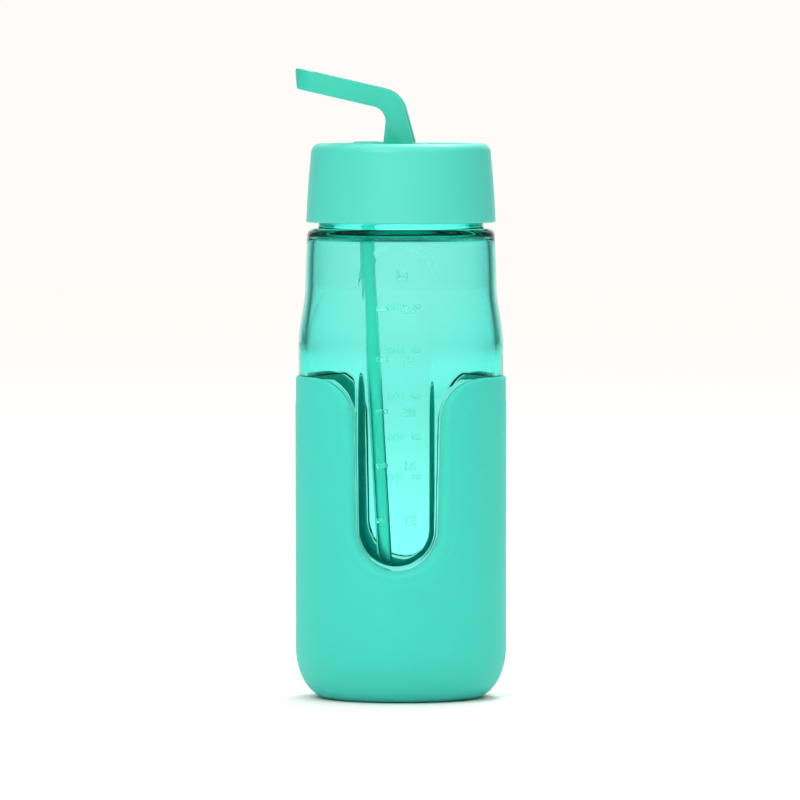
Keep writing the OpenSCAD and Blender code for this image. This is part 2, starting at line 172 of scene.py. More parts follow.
floor_mesh = bpy.data.meshes.new("floor")
bm = bmesh.new()
bmesh.ops.create_grid(bm, x_segments=1, y_segments=1, size=FLOOR_HALF_SIZE)
bm.to_mesh(floor_mesh)
bm.free()
floor = bpy.data.objects.new("floor", floor_mesh)
bpy.context.scene.collection.objects.link(floor)
floor_paint, tree = new_material("matt studio floor")
place = add_node(tree, "ShaderNodeTexCoord")
parts = add_node(tree, "ShaderNodeSeparateXYZ", inputs={0: place.outputs["Object"]})
sideways = add_node(tree, "ShaderNodeMath", {"operation": "ABSOLUTE"}, {0: parts.outputs["X"]})
shade_off = add_node(tree, "ShaderNodeMapRange", {"interpolation_type": "SMOOTHSTEP"}, {
    "Value": sideways.outputs[0], "From Min": FLOOR_FADE_FROM, "From Max": FLOOR_FADE_TO,
})
paint = add_node(tree, "ShaderNodeMix", {"data_type": "RGBA"}, {
    "Factor": shade_off.outputs["Result"], "A": linear(FLOOR_WHITE), "B": linear(FLOOR_SIDE),
})
shader = add_node(tree, "ShaderNodeBsdfPrincipled", inputs={
    "Base Color": paint.outputs["Result"], "Roughness": 0.9,
})
add_node(tree, "ShaderNodeOutputMaterial", inputs={"Surface": shader.outputs[0]})
floor_mesh.materials.append(floor_paint)

for name, place, size, power in (
    ("key_light", (-1.0, -2.0, 1.7), 1.3, 23.0),
    ("fill_light", (1.5, -1.7, 1.5), 1.0, 7.0),
    ("rim_light", (0.35, 1.05, 1.75), 0.6, 15.0),
):
    lamp = bpy.data.lights.new(name, "AREA")
    lamp.shape = "DISK"
    lamp.size = size
    lamp.energy = power
    light = bpy.data.objects.new(name, lamp)
    light.location = place
    light.rotation_euler = (LAMP_AIM - light.location).to_track_quat("-Z", "Y").to_euler()
    bpy.context.scene.collection.objects.link(light)


# ---------------------------------------------------------------------------------------------
# Glass bottle. Tinted soda-lime glass, blown in a mould: a threaded neck, a flat shoulder, a soft
# draw-in, raised pads that fill the sleeve's windows, and a long pressed panel front and back.

MM = 0.001
glass_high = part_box("glass_bottle")[1]
sleeve_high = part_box("silicone_sleeve")[1]
SLEEVE_R = sleeve_high.x / MM
SLEEVE_TOP_Z = sleeve_high.z / MM
SLEEVE_WALL = 2.5
SEAT_GAP = 0.05
MOUTH_Z = glass_high.z / MM
GLASS_R = 43.55
RECESS_R = SLEEVE_R - SLEEVE_WALL - SEAT_GAP
STEP_LOW_Z = SLEEVE_TOP_Z - 2.0
STEP_HIGH_Z = SLEEVE_TOP_Z - 0.8
WALL = 2.5
SHOULDER_WALL = 3.0
FOOT_R = 31.0
CORNER_H = 22.0
BULGE_TOP_Z = 150.0
WAIST_Z = 175.0
WAIST_R = 40.7
TAPER_FROM_Z = WAIST_Z - 10.0
SHOULDER_R = 39.9
SHOULDER_TOP_Z = 199.5
SHOULDER_EDGE_R = 3.0
BEAD_R = 35.0
BEAD_TOP_Z = 201.8
BEAD_EDGE_R = 0.8
NECK_R = 33.0
MOUTH_R = 29.5
MOUTH_LIP_R = 1.2
FLOOR_Z = 9.0
FLOOR_CORNER_R = 14.0
WINDOW_HALF_W = 18.0
WINDOW_BOTTOM_Z = 56.3
WINDOW_TAPER = 1.1
FLARE_R = 18.5
PAD_MARGIN = 1.4
PANEL_HALF_W = 14.8
PANEL_BOTTOM_Z = 58.8
PANEL_TOP_Z = 191.5
PANEL_DEPTH = 0.6
PANEL_SLOPE = 1.2
PANEL_RIDGE = 0.3
PANEL_RIDGE_W = 1.6
PANEL_BEAD = 0.06
PANEL_BEAD_TOP = 0.8
PANEL_BEAD_FOOT = 1.9
PANEL_FADE_FROM = SLEEVE_TOP_Z - 10
PANEL_FADE_TO = SLEEVE_TOP_Z + 14
THREAD_PITCH = 5.0
THREAD_DEPTH = 1.6
THREAD_BOTTOM_Z = 206.5
THREAD_TURNS = 1.25
THREAD_RUN_OUT = 0.06
THREAD_CREST = 0.35
THREAD_FOOT = 1.35


def steps(start, stop, size):
    """Numbers from start up to but not including stop, evenly spaced by about size."""
    count = max(1, round(abs(stop - start) / size))
    return [start + (stop - start) * i / count for i in range(count)]


def smooth(value, low, high):
    """0 below low, 1 above high, and a smooth rise between them."""
    t = min(1.0, max(0.0, (value - low) / (high - low)))
    return t * t * (3 - 2 * t)


def arc(x, z, radius, start, stop, count):
    """Points on an arc round (x, z), with its angles in degrees."""
    angles = [math.radians(start + (stop - start) * i / count) for i in range(count + 1)]
    return [(x + radius * math.cos(a), z + radius * math.sin(a)) for a in angles]


def window_distance(x, z, grow=0.0, top_z=SLEEVE_TOP_Z):
    """Distance outside a sleeve window's outline, seen from the front: below 0 inside the window.
    The window is a slot with a round bottom, whose sides open a little upwards and whose top
    corners flare out into a level edge. It can be grown, and its flares can end lower."""
    arc_z = WINDOW_BOTTOM_Z + WINDOW_HALF_W
    flare_z = top_z - FLARE_R
    half_w = WINDOW_HALF_W + WINDOW_TAPER * min(1.0, max(0.0, (z - arc_z) / (flare_z - arc_z)))
    x = abs(x)
    if z < arc_z:
        return math.hypot(x, z - arc_z) - half_w - grow
    if z > flare_z and x > half_w + FLARE_R:
        return top_z - z - grow
    if z > flare_z:
        return FLARE_R - math.hypot(x - half_w - FLARE_R, z - flare_z) - grow
    return x - half_w - grow


def seat_radius(x, z):
    """Radius at which the sleeve sits on the glass, before the panel is pressed in. Between the
    windows the glass stands back to make room for the sleeve."""
    pad = smooth(-window_distance(x, z) - PAD_MARGIN, -0.5, 0.5)
    return RECESS_R + (GLASS_R - RECESS_R) * max(pad, smooth(z, STEP_LOW_Z, STEP_HIGH_Z))


def panel_distance(x, z):
    """Distance outside the outline of the pressed panel, which is a slot with two round ends."""
    beyond = max(0.0, z - PANEL_TOP_Z + PANEL_HALF_W, PANEL_BOTTOM_Z + PANEL_HALF_W - z)
    return math.hypot(x, beyond) - PANEL_HALF_W


def panel_fade(z):
    """How much of the panel's depth is left: above the sleeve only its outline is raised."""
    return 1 - smooth(z, PANEL_FADE_FROM, PANEL_FADE_TO)


def panel_relief(x, z):
    """How far the panel's pressing moves the surface. Low down it goes in inside the outline and
    out to a ridge along it, and above the sleeve there is only a shallow bead on the outline."""
    off = panel_distance(x, z)
    rise = PANEL_DEPTH * smooth(off, -PANEL_SLOPE, PANEL_SLOPE)
    fall = PANEL_RIDGE * smooth(off, PANEL_SLOPE, PANEL_SLOPE + PANEL_RIDGE_W)
    pressed = rise - fall - (PANEL_DEPTH - PANEL_RIDGE)
    bead_in = smooth(off, -PANEL_BEAD_FOOT, -PANEL_BEAD_TOP)
    bead_out = smooth(off, PANEL_BEAD_TOP, PANEL_BEAD_FOOT)
    bead = PANEL_BEAD * (bead_in - bead_out)
    return pressed * panel_fade(z) + bead * (1 - panel_fade(z))


def warped_grid(columns, rows, place):
    """A bmesh with one vertex at place(column, row) for every pair, and its doubles merged."""
    bm = bmesh.new()
    bmesh.ops.create_grid(bm, x_segments=len(columns) - 1, y_segments=len(rows) - 1, size=1.0)
    for vertex in bm.verts:
        i = round((vertex.co.x + 1) / 2 * (len(columns) - 1))
        j = round((vertex.co.y + 1) / 2 * (len(rows) - 1))
        vertex.co = Vector(place(columns[i], rows[j])) * MM
    bmesh.ops.remove_doubles(bm, verts=bm.verts, dist=2e-6)
    return bm


def finished(bm, name, material, body, outward=True):
    """A smooth object from a bmesh, with its material, riding on its body."""
    if outward:
        bmesh.ops.recalc_face_normals(bm, faces=bm.faces)
    for face in bm.faces:
        face.smooth = True
    mesh = bpy.data.meshes.new(name)
    bm.to_mesh(mesh)
    bm.free()
    mesh.materials.append(material)
    piece = bpy.data.objects.new(name, mesh)
    bpy.context.scene.collection.objects.link(piece)
    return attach(piece, body)


def glass_side_r(z):
    """Radius of the glass's full outside at height z, without pads, panel or thread."""
    draw_in = smooth(z, BULGE_TOP_Z, WAIST_Z)
    taper = (max(0.0, z - TAPER_FROM_Z) / (SHOULDER_TOP_Z - SHOULDER_EDGE_R - TAPER_FROM_Z)) ** 2
    return GLASS_R + (WAIST_R - GLASS_R) * draw_in + (SHOULDER_R - WAIST_R) * min(1.0, taper)


def thread_rise(angle, z):
    """How far the thread stands out of the neck at that angle and height."""
    rise = 0.0
    for turn in range(2):
        along = angle / math.tau % 1 + turn
        off = abs(z - THREAD_BOTTOM_Z - THREAD_PITCH * along)
        starts = smooth(along, 0.0, THREAD_RUN_OUT)
        ends = 1 - smooth(along, THREAD_TURNS - THREAD_RUN_OUT, THREAD_TURNS)
        rise = max(rise, (1 - smooth(off, THREAD_CREST, THREAD_FOOT)) * starts * ends)
    return rise * THREAD_DEPTH


def glass_point(angle, row):
    """A point of the glass. A row is a radius, a height, and whether it is on the outer skin."""
    radius, z, outer = row
    if outer and z > CORNER_H:
        x = radius * math.sin(angle)
        if z < BULGE_TOP_Z - 5:
            radius = seat_radius(x, z)
        if z < SHOULDER_TOP_Z:
            radius += panel_relief(x, z)
        elif z > BEAD_TOP_Z:
            radius += thread_rise(angle, z)
    return radius * math.sin(angle), -radius * math.cos(angle), z


outer_heights = (
    steps(CORNER_H + 4, 53, 4) + steps(53, 75, 0.45) + steps(75, 117, 3)
    + steps(117, 141, 0.45) + steps(141, WAIST_Z, 1.6) + steps(WAIST_Z, 192.6, 0.45)
    + steps(192.6, SHOULDER_TOP_Z - SHOULDER_EDGE_R, 1.0)
)
corner = [
    (
        FOOT_R + (RECESS_R - FOOT_R) * math.sin(math.radians(a)),
        SLEEVE_WALL + (CORNER_H - SLEEVE_WALL) * (1 - math.cos(math.radians(a))),
    )
    for a in range(0, 91, 9)
]
shoulder = arc(
    SHOULDER_R - SHOULDER_EDGE_R, SHOULDER_TOP_Z - SHOULDER_EDGE_R, SHOULDER_EDGE_R, 0, 90, 8
)
bead = [(BEAD_R + 0.25, SHOULDER_TOP_Z)]
bead += arc(BEAD_R - BEAD_EDGE_R, BEAD_TOP_Z - BEAD_EDGE_R, BEAD_EDGE_R, 0, 90, 5)
neck = [(NECK_R, z) for z in steps(BEAD_TOP_Z, MOUTH_Z - MOUTH_LIP_R, 0.45)]
lip = (
    arc(NECK_R - MOUTH_LIP_R, MOUTH_Z - MOUTH_LIP_R, MOUTH_LIP_R, 0, 90, 5)
    + arc(MOUTH_R + MOUTH_LIP_R, MOUTH_Z - MOUTH_LIP_R, MOUTH_LIP_R, 90, 180, 5)
)
inner_neck = [(MOUTH_R, z) for z in steps(MOUTH_Z - 3, SHOULDER_TOP_Z, 2.5)]
inner_shoulder = (
    arc(MOUTH_R + MOUTH_LIP_R, SHOULDER_TOP_Z - 1.3, MOUTH_LIP_R, 180, 270, 5)
    + arc(SHOULDER_R - 6, SHOULDER_TOP_Z - 5.5, SHOULDER_EDGE_R, 90, 0, 8)
)
inner_waist = [
    (glass_side_r(z) - SHOULDER_WALL - 0.35 * (1 - smooth(z, BULGE_TOP_Z, WAIST_Z)), z)
    for z in steps(SHOULDER_TOP_Z - 6.5, BULGE_TOP_Z, 1.5)
]
inner_wall = [
    (RECESS_R - WALL + 0.4 * smooth(z, SLEEVE_TOP_Z - 8, BULGE_TOP_Z), z)
    for z in steps(BULGE_TOP_Z, 72, 2.5) + steps(72, FLOOR_Z + FLOOR_CORNER_R, 1.5)
]
inner_corner = arc(RECESS_R - WALL - FLOOR_CORNER_R, FLOOR_Z + FLOOR_CORNER_R, FLOOR_CORNER_R, 0, -90, 10)
inner_profile = lip + inner_neck + inner_shoulder + inner_waist + inner_wall + inner_corner

glass_rows = (
    [(0.0, 4.0, True), (12.0, 4.0, True), (22.0, 3.9, True), (26.5, 2.9, True)]
    + [(r, z, True) for r, z in corner]
    + [(glass_side_r(z), z, True) for z in outer_heights]
    + [(r, z, True) for r, z in shoulder + bead + neck]
    + [(r, z, False) for r, z in inner_profile]
    + [(14.0, FLOOR_Z, False), (0.0, FLOOR_Z, False)]
)

front_quarter = (
    [math.asin(x / GLASS_R) for x in steps(0, 10.5, 1.0) + steps(10.5, 20, 0.45) + steps(20, 37, 0.85)]
    + steps(math.asin(37 / GLASS_R), math.pi / 2, 0.06)
)
front_half = front_quarter + [math.pi / 2] + [math.pi - a for a in reversed(front_quarter)]
glass_columns = [-a for a in reversed(front_half)] + front_half[1:]

# Soda-lime glass: clear, glossy and green-blue all through, with the faint waves of a blown wall,
# about 22 mm apart. The tint is in the volume, so thick places and edges look deeper in colour,
# and the sheen is tinted too, so that white surroundings lay no grey veil over it.
GLASS_TINT = "#00f7ef"
GLASS_DENSITY = 252.0
GLASS_WAVES_PER_M = 45.0
GLASS_SHEEN = "#008989"
glass, tree = new_material("tinted soda-lime glass")
place = add_node(tree, "ShaderNodeTexCoord")
waves = add_node(tree, "ShaderNodeTexNoise", inputs={
    "Vector": place.outputs["Object"], "Scale": GLASS_WAVES_PER_M, "Detail": 1.0,
})
ripple = add_node(tree, "ShaderNodeBump", inputs={
    "Height": waves.outputs["Fac"], "Strength": 0.06, "Distance": 0.001,
})
shader = add_node(tree, "ShaderNodeBsdfPrincipled", inputs={
    "Base Color": (1.0, 1.0, 1.0, 1.0), "Roughness": 0.0, "IOR": 1.5,
    "Specular Tint": linear(GLASS_SHEEN), "Transmission Weight": 1.0, "Normal": ripple.outputs["Normal"],
})
tint = add_node(tree, "ShaderNodeVolumeAbsorption", inputs={
    "Color": linear(GLASS_TINT), "Density": GLASS_DENSITY,
})
add_node(tree, "ShaderNodeOutputMaterial", inputs={
    "Surface": shader.outputs[0], "Volume": tint.outputs[0],
})

bottle_glass = finished(
    warped_grid(glass_columns, glass_rows, glass_point), "bottle_glass", glass, "bottle"
)
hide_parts("glass_bottle")


# ---------------------------------------------------------------------------------------------
# Silicone sleeve. One moulded cup of soft silicone, stretched over the glass, with a window front
# and back whose rounded lip catches the light, and a faint step that runs round each window.

WINDOW_LIP_R = 3.2
TOP_LIP_R = 1.1
LIP_DROP = 0.64
CREASE_OUT = 6.6
CREASE_DEPTH = 0.22
CREASE_TOP_Z = 132.5
COARSE_FROM = 26.0


def window_edge_x(z):
    """Half the window's width at height z, seen from the front."""
    if z <= WINDOW_BOTTOM_Z:
        return 0.0
    if z < WINDOW_BOTTOM_Z + WINDOW_HALF_W:
        return math.sqrt(WINDOW_HALF_W ** 2 - (WINDOW_BOTTOM_Z + WINDOW_HALF_W - z) ** 2)
    if z < SLEEVE_TOP_Z - FLARE_R:
        return -window_distance(0.0, z)
    up = min(FLARE_R, z - SLEEVE_TOP_Z + FLARE_R)
    return WINDOW_HALF_W + WINDOW_TAPER + FLARE_R - math.sqrt(FLARE_R ** 2 - up ** 2)


def sleeve_point(column, row):
    """A point of the sleeve's right half. A row is its radius, its height and the skin it is on.
    A column says how far it lies from the nearer window, and which window that is."""
    distance, share, near_back = column
    radius, z, outer = row
    edge = math.asin(window_edge_x(z) / SLEEVE_R)
    quarter = math.pi / 2 - edge
    angle = edge + (distance / SLEEVE_R if distance is not None else COARSE_FROM / SLEEVE_R
                    + share * (quarter - COARSE_FROM / SLEEVE_R))
    x = radius * math.sin(angle)
    if outer and z > CORNER_H:
        lip_r = WINDOW_LIP_R + (TOP_LIP_R - WINDOW_LIP_R) * smooth(z, SLEEVE_TOP_Z - 14, SLEEVE_TOP_Z - 2)
        inside = min(lip_r, max(0.0, window_distance(x, z)))
        inside = min(inside, SLEEVE_TOP_Z - z)
        radius -= LIP_DROP * lip_r * (1 - inside / lip_r) ** 1.35
        crease = window_distance(x, z, CREASE_OUT, CREASE_TOP_Z)
        radius -= CREASE_DEPTH * smooth(-crease, -0.5, 0.5)
    elif z > CORNER_H:
        radius = seat_radius(x, z) + SEAT_GAP
    if near_back:
        angle = math.pi - angle
    return radius * math.sin(angle), -radius * math.cos(angle), z


fine = [0.0, 0.03, 0.1, 0.22, 0.4, 0.65, 0.95, 1.3, 1.7, 2.2] + steps(2.8, COARSE_FROM, 0.7)
coarse = [i / 9 for i in range(9)]
near_front = [(d, 0, False) for d in fine] + [(None, s, False) for s in coarse] + [(None, 1.0, False)]
sleeve_columns = near_front + [(d, s, True) for d, s, _ in reversed(near_front[:-1])]

heights = (
    steps(CORNER_H + 3, 46, 3) + steps(46, WINDOW_BOTTOM_Z - 3, 0.8)
    + steps(WINDOW_BOTTOM_Z - 3, WINDOW_BOTTOM_Z, 0.3)
    + [WINDOW_BOTTOM_Z + WINDOW_HALF_W * (1 - math.cos(math.radians(a))) for a in range(0, 90, 3)]
    + steps(WINDOW_BOTTOM_Z + WINDOW_HALF_W, SLEEVE_TOP_Z - FLARE_R, 2.5)
    + [SLEEVE_TOP_Z - FLARE_R * (1 - math.sin(math.radians(a))) for a in range(0, 60, 3)]
    + steps(SLEEVE_TOP_Z - FLARE_R * (1 - math.sin(math.radians(60))), SLEEVE_TOP_Z - 1.2, 0.3)
    + [SLEEVE_TOP_Z - d for d in (1.2, 0.9, 0.6, 0.35, 0.15, 0.04, 0.0)]
)


def sleeve_rows(inset, outer):
    """Rows of one skin, from the middle of the foot to the top edge."""
    turn = [math.radians(a) for a in range(0, 91, 6)]
    corner = [
        (
            FOOT_R + (SLEEVE_R - FOOT_R - inset) * math.sin(a),
            inset + (CORNER_H - inset) * (1 - math.cos(a)),
        )
        for a in turn
    ]
    foot = [(0.0, inset), (10.0, inset), (20.0, inset), (27.0, inset)]
    side = [(SLEEVE_R - inset, z) for z in heights]
    return [(r, z, outer) for r, z in foot + corner + side]


def sleeve_skin(inset, outer):
    """One skin of the sleeve as a bmesh, with an open edge round the windows and the top."""
    bm = warped_grid(sleeve_columns, sleeve_rows(inset, outer), sleeve_point)
    other = bmesh.ops.duplicate(bm, geom=bm.verts[:] + bm.edges[:] + bm.faces[:])
    mirrored = [g for g in other["geom"] if isinstance(g, bmesh.types.BMVert)]
    bmesh.ops.scale(bm, vec=(-1, 1, 1), verts=mirrored)
    bmesh.ops.remove_doubles(bm, verts=bm.verts, dist=2e-6)
    bmesh.ops.recalc_face_normals(bm, faces=bm.faces)
    return bm


bm = sleeve_skin(0.0, True)
inner_mesh = bpy.data.meshes.new("sleeve_inner")
inner_bm = sleeve_skin(SLEEVE_WALL, False)
inner_bm.to_mesh(inner_mesh)
inner_bm.free()
bm.from_mesh(inner_mesh)
bpy.data.meshes.remove(inner_mesh)
rim = [e for e in bm.edges if e.is_boundary]
bmesh.ops.bridge_loops(bm, edges=rim)

# Silicone rubber: soft, matte and a little milky, with slow clouds in its colour and the fine even
# grain of an etched mould. The grain is too fine to show, so it is drawn at about a millimetre.
# The inner face is painted lighter: painted light, standing in for the light that comes in behind it
# through the glass.
SILICONE_MINT = "#46cbbb"
SILICONE_DEEP = "#40c7b7"
SILICONE_INSIDE_PAINTED_LIGHT = "#b4fff2"
INSIDE_SKIN_R = 42.5
INSIDE_SKIN_FADE = 0.2
INSIDE_SKIN_FROM_Z = 20.0
INSIDE_SKIN_FULL_Z = 30.0
SILICONE_CLOUDS_PER_M = 30.0
SILICONE_GRAINS_PER_M = 1100.0
silicone, tree = new_material("moulded silicone rubber")
place = add_node(tree, "ShaderNodeTexCoord")
cloud = add_node(tree, "ShaderNodeTexNoise", inputs={
    "Vector": place.outputs["Object"], "Scale": SILICONE_CLOUDS_PER_M, "Detail": 2.0,
})
shade = add_node(tree, "ShaderNodeMix", {"data_type": "RGBA"}, {
    "Factor": cloud.outputs["Fac"], "A": linear(SILICONE_MINT), "B": linear(SILICONE_DEEP),
})
flat = add_node(tree, "ShaderNodeVectorMath", {"operation": "MULTIPLY"}, {
    0: place.outputs["Object"], 1: (1.0, 1.0, 0.0),
})
across = add_node(tree, "ShaderNodeVectorMath", {"operation": "LENGTH"}, {0: flat.outputs["Vector"]})
on_the_inside = add_node(tree, "ShaderNodeMapRange", inputs={
    "Value": across.outputs["Value"], "To Min": 1.0, "To Max": 0.0,
    "From Min": INSIDE_SKIN_R * MM, "From Max": (INSIDE_SKIN_R + INSIDE_SKIN_FADE) * MM,
})
height = add_node(tree, "ShaderNodeSeparateXYZ", inputs={0: place.outputs["Object"]})
over_the_base = add_node(tree, "ShaderNodeMapRange", inputs={
    "Value": height.outputs["Z"],
    "From Min": INSIDE_SKIN_FROM_Z * MM, "From Max": INSIDE_SKIN_FULL_Z * MM,
})
# Painted light: the inner face, seen through the glass, is mixed towards a lighter colour.
painted_light_inside = add_node(tree, "ShaderNodeMath", {"operation": "MULTIPLY"}, {
    0: on_the_inside.outputs["Result"], 1: over_the_base.outputs["Result"],
})
silicone_with_painted_light = add_node(tree, "ShaderNodeMix", {"data_type": "RGBA"}, {
    "Factor": painted_light_inside.outputs[0], "A": shade.outputs["Result"], "B": linear(SILICONE_INSIDE_PAINTED_LIGHT),
})
grain = add_node(tree, "ShaderNodeTexNoise", inputs={
    "Vector": place.outputs["Object"], "Scale": SILICONE_GRAINS_PER_M, "Detail": 1.0,
})
relief = add_node(tree, "ShaderNodeBump", inputs={
    "Height": grain.outputs["Fac"], "Strength": 0.12, "Distance": 0.0002,
})
shader = add_node(tree, "ShaderNodeBsdfPrincipled", inputs={
    "Base Color": silicone_with_painted_light.outputs["Result"], "Roughness": 0.5, "IOR": 1.41,
    "Subsurface Weight": 0.5, "Subsurface Radius": (0.15, 1.0, 0.85), "Subsurface Scale": 0.0022,
    "Specular IOR Level": 0.18, "Normal": relief.outputs["Normal"],
})
add_node(tree, "ShaderNodeOutputMaterial", inputs={"Surface": shader.outputs[0]})

sleeve = finished(bm, "sleeve", silicone, "bottle")
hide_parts("silicone_sleeve")


# ---------------------------------------------------------------------------------------------
# Lid shell. Injection-moulded polypropylene with a satin face: a skirt that leans in a little
# towards the top, a broad rounded rim, and the wall of the well that takes the folded spout.

lid_low, lid_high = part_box("lid_shell")
LID_R = lid_high.x / MM
LID_BOTTOM_Z = lid_low.z / MM
LID_TOP_Z = lid_high.z / MM
LID_EDGE_R = 4.0
WELL_R = 31.5
WELL_FLOOR_Z = 220.5
WELL_EDGE_R = 0.9
FOOT_EDGE_R = 0.6
SKIRT_INNER_R = 37.5


def lid_side_r(height):
    """Radius of the lid's side at that height above its bottom edge."""
    return LID_R - 0.04 * height - 0.001 * height ** 2


def turned(profile, segments=192):
    """A bmesh made by spinning a profile of radius and height round the bottle's axis."""
    bm = bmesh.new()
    vertices = [bm.verts.new((r * MM, 0, z * MM)) for r, z in profile]
    edges = [bm.edges.new((a, b)) for a, b in zip(vertices, vertices[1:])]
    bmesh.ops.spin(
        bm, geom=vertices + edges, cent=(0, 0, 0), axis=(0, 0, 1), angle=math.tau,
        steps=segments, use_merge=True,
    )
    bmesh.ops.remove_doubles(bm, verts=bm.verts, dist=2e-6)
    return bm


side_top = LID_TOP_Z - LID_EDGE_R
side_top_r = lid_side_r(side_top - LID_BOTTOM_Z)
lid_profile = (
    arc(lid_side_r(FOOT_EDGE_R) - FOOT_EDGE_R, LID_BOTTOM_Z + FOOT_EDGE_R, FOOT_EDGE_R, -90, 0, 4)
    + [(lid_side_r(h), LID_BOTTOM_Z + h) for h in steps(1.5, side_top - LID_BOTTOM_Z - 1, 1.5)]
    + arc(side_top_r - LID_EDGE_R, side_top, LID_EDGE_R, 3, 90, 14)
    + arc(WELL_R + WELL_EDGE_R, LID_TOP_Z - WELL_EDGE_R, WELL_EDGE_R, 90, 180, 6)
    + [(WELL_R, WELL_FLOOR_Z + 0.6), (WELL_R, WELL_FLOOR_Z + 0.05), (WELL_R + 2.2, WELL_FLOOR_Z + 0.05)]
    + [(WELL_R + 2.2, side_top - 0.5), (WELL_R + 3.4, side_top + 0.7), (side_top_r - 2, side_top - 0.5)]
    + [(SKIRT_INNER_R, LID_BOTTOM_Z + 18.5), (SKIRT_INNER_R, LID_BOTTOM_Z + 0.8)]
    + [(SKIRT_INNER_R + 0.8, LID_BOTTOM_Z)]
)
lid_profile.append(lid_profile[0])

# Polypropylene: a satin, slightly waxy plastic with the fine spark-eroded grain of its mould,
# drawn coarser than it is, at about 0.7 mm, so that it shows.
LID_MINT = "#4fcbbb"
LID_DEEP = "#49c7b7"
LID_CLOUDS_PER_M = 40.0
PLASTIC_GRAINS_PER_M = 1400.0
satin, tree = new_material("satin moulded polypropylene")
place = add_node(tree, "ShaderNodeTexCoord")
cloud = add_node(tree, "ShaderNodeTexNoise", inputs={
    "Vector": place.outputs["Object"], "Scale": LID_CLOUDS_PER_M, "Detail": 2.0,
})
shade = add_node(tree, "ShaderNodeMix", {"data_type": "RGBA"}, {
    "Factor": cloud.outputs["Fac"], "A": linear(LID_MINT), "B": linear(LID_DEEP),
})
grain = add_node(tree, "ShaderNodeTexNoise", inputs={
    "Vector": place.outputs["Object"], "Scale": PLASTIC_GRAINS_PER_M, "Detail": 1.0,
})
relief = add_node(tree, "ShaderNodeBump", inputs={
    "Height": grain.outputs["Fac"], "Strength": 0.1, "Distance": 0.0002,
})
shader = add_node(tree, "ShaderNodeBsdfPrincipled", inputs={
    "Base Color": shade.outputs["Result"], "Roughness": 0.36, "IOR": 1.49, "Specular IOR Level": 0.4,
    "Normal": relief.outputs["Normal"],
})
add_node(tree, "ShaderNodeOutputMaterial", inputs={"Surface": shader.outputs[0]})

shell = finished(turned(lid_profile), "lid_skin", satin, "lid")
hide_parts("lid_shell")


# ---------------------------------------------------------------------------------------------
# Handle. Moulded in the same plastic as the lid, with its edges rounded: two legs that rise from
# their hinge in the well, lean over, and meet in a crossbar that a finger or a hook goes under.


def rounded_copy(node, name, radius, material, corner=40):
    """A CAD node's solid with its facets joined into whole faces and its edges rounded."""
    source = frame["nodes"][node]
    bm = bmesh.new()
    bm.from_mesh(source.data)
    bmesh.ops.remove_doubles(bm, verts=bm.verts, dist=1e-6)
    bmesh.ops.dissolve_limit(
        bm, angle_limit=math.radians(0.5), use_dissolve_boundaries=False,
        verts=bm.verts, edges=bm.edges, delimit={"NORMAL"},
    )
    sharp = [e for e in bm.edges if len(e.link_faces) == 2 and e.calc_face_angle() > math.radians(corner)]
    if radius:
        bmesh.ops.bevel(
            bm, geom=sharp, offset=radius * MM, offset_type="OFFSET", affect="EDGES",
            segments=3, profile=0.5, material=-1, clamp_overlap=True,
        )
    for edge in bm.edges:
        edge.smooth = len(edge.link_faces) == 2 and edge.calc_face_angle() < math.radians(corner)
    return finished(bm, name, material, source["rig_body"], outward=False)


# Polypropylene again, drawn a little deeper in colour than the lid: satin, with the same mould grain.
HANDLE_MINT = "#2fc0a8"
HANDLE_DEEP = "#2abba3"
HANDLE_CLOUDS_PER_M = 60.0
handle_plastic, tree = new_material("satin moulded handle plastic")
place = add_node(tree, "ShaderNodeTexCoord")
cloud = add_node(tree, "ShaderNodeTexNoise", inputs={
    "Vector": place.outputs["Object"], "Scale": HANDLE_CLOUDS_PER_M, "Detail": 2.0,
})
shade = add_node(tree, "ShaderNodeMix", {"data_type": "RGBA"}, {
    "Factor": cloud.outputs["Fac"], "A": linear(HANDLE_MINT), "B": linear(HANDLE_DEEP),
})
grain = add_node(tree, "ShaderNodeTexNoise", inputs={
    "Vector": place.outputs["Object"], "Scale": PLASTIC_GRAINS_PER_M, "Detail": 1.0,
})
relief = add_node(tree, "ShaderNodeBump", inputs={
    "Height": grain.outputs["Fac"], "Strength": 0.08, "Distance": 0.0002,
})
shader = add_node(tree, "ShaderNodeBsdfPrincipled", inputs={
    "Base Color": shade.outputs["Result"], "Roughness": 0.36, "IOR": 1.49,
    "Normal": relief.outputs["Normal"],
})
add_node(tree, "ShaderNodeOutputMaterial", inputs={"Surface": shader.outputs[0]})

grip = rounded_copy("carry_handle", "handle_grip", 0.7, handle_plastic)
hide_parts("carry_handle")


# ---------------------------------------------------------------------------------------------
# Straw. One extruded tube of soft polyethylene, a little see-through, so that light which comes
# in through the glass glows in it. It hangs from a silicone coupler under the lid.

# Polyethylene: waxy and half clear, so that the light behind it comes through, with faint streaks
# along the tube from the extruder's die, drawn about a millimetre apart.
STRAW_MINT = "#c0fff6"
STRAW_DEEP = "#b6fbf0"
STRAW_STREAKS_PER_M = 900.0
straw_plastic, tree = new_material("translucent extruded polyethylene")
place = add_node(tree, "ShaderNodeTexCoord")
stretch = add_node(tree, "ShaderNodeMapping", inputs={
    "Vector": place.outputs["Object"], "Scale": (1.0, 1.0, 0.05),
})
streaks = add_node(tree, "ShaderNodeTexNoise", inputs={
    "Vector": stretch.outputs["Vector"], "Scale": STRAW_STREAKS_PER_M, "Detail": 1.0,
})
shade = add_node(tree, "ShaderNodeMix", {"data_type": "RGBA"}, {
    "Factor": streaks.outputs["Fac"], "A": linear(STRAW_MINT), "B": linear(STRAW_DEEP),
})
shader = add_node(tree, "ShaderNodeBsdfPrincipled", inputs={
    "Base Color": shade.outputs["Result"], "Roughness": 0.35, "IOR": 1.12,
    "Transmission Weight": 0.9, "Specular Tint": linear(GLASS_SHEEN),
})
add_node(tree, "ShaderNodeOutputMaterial", inputs={"Surface": shader.outputs[0]})

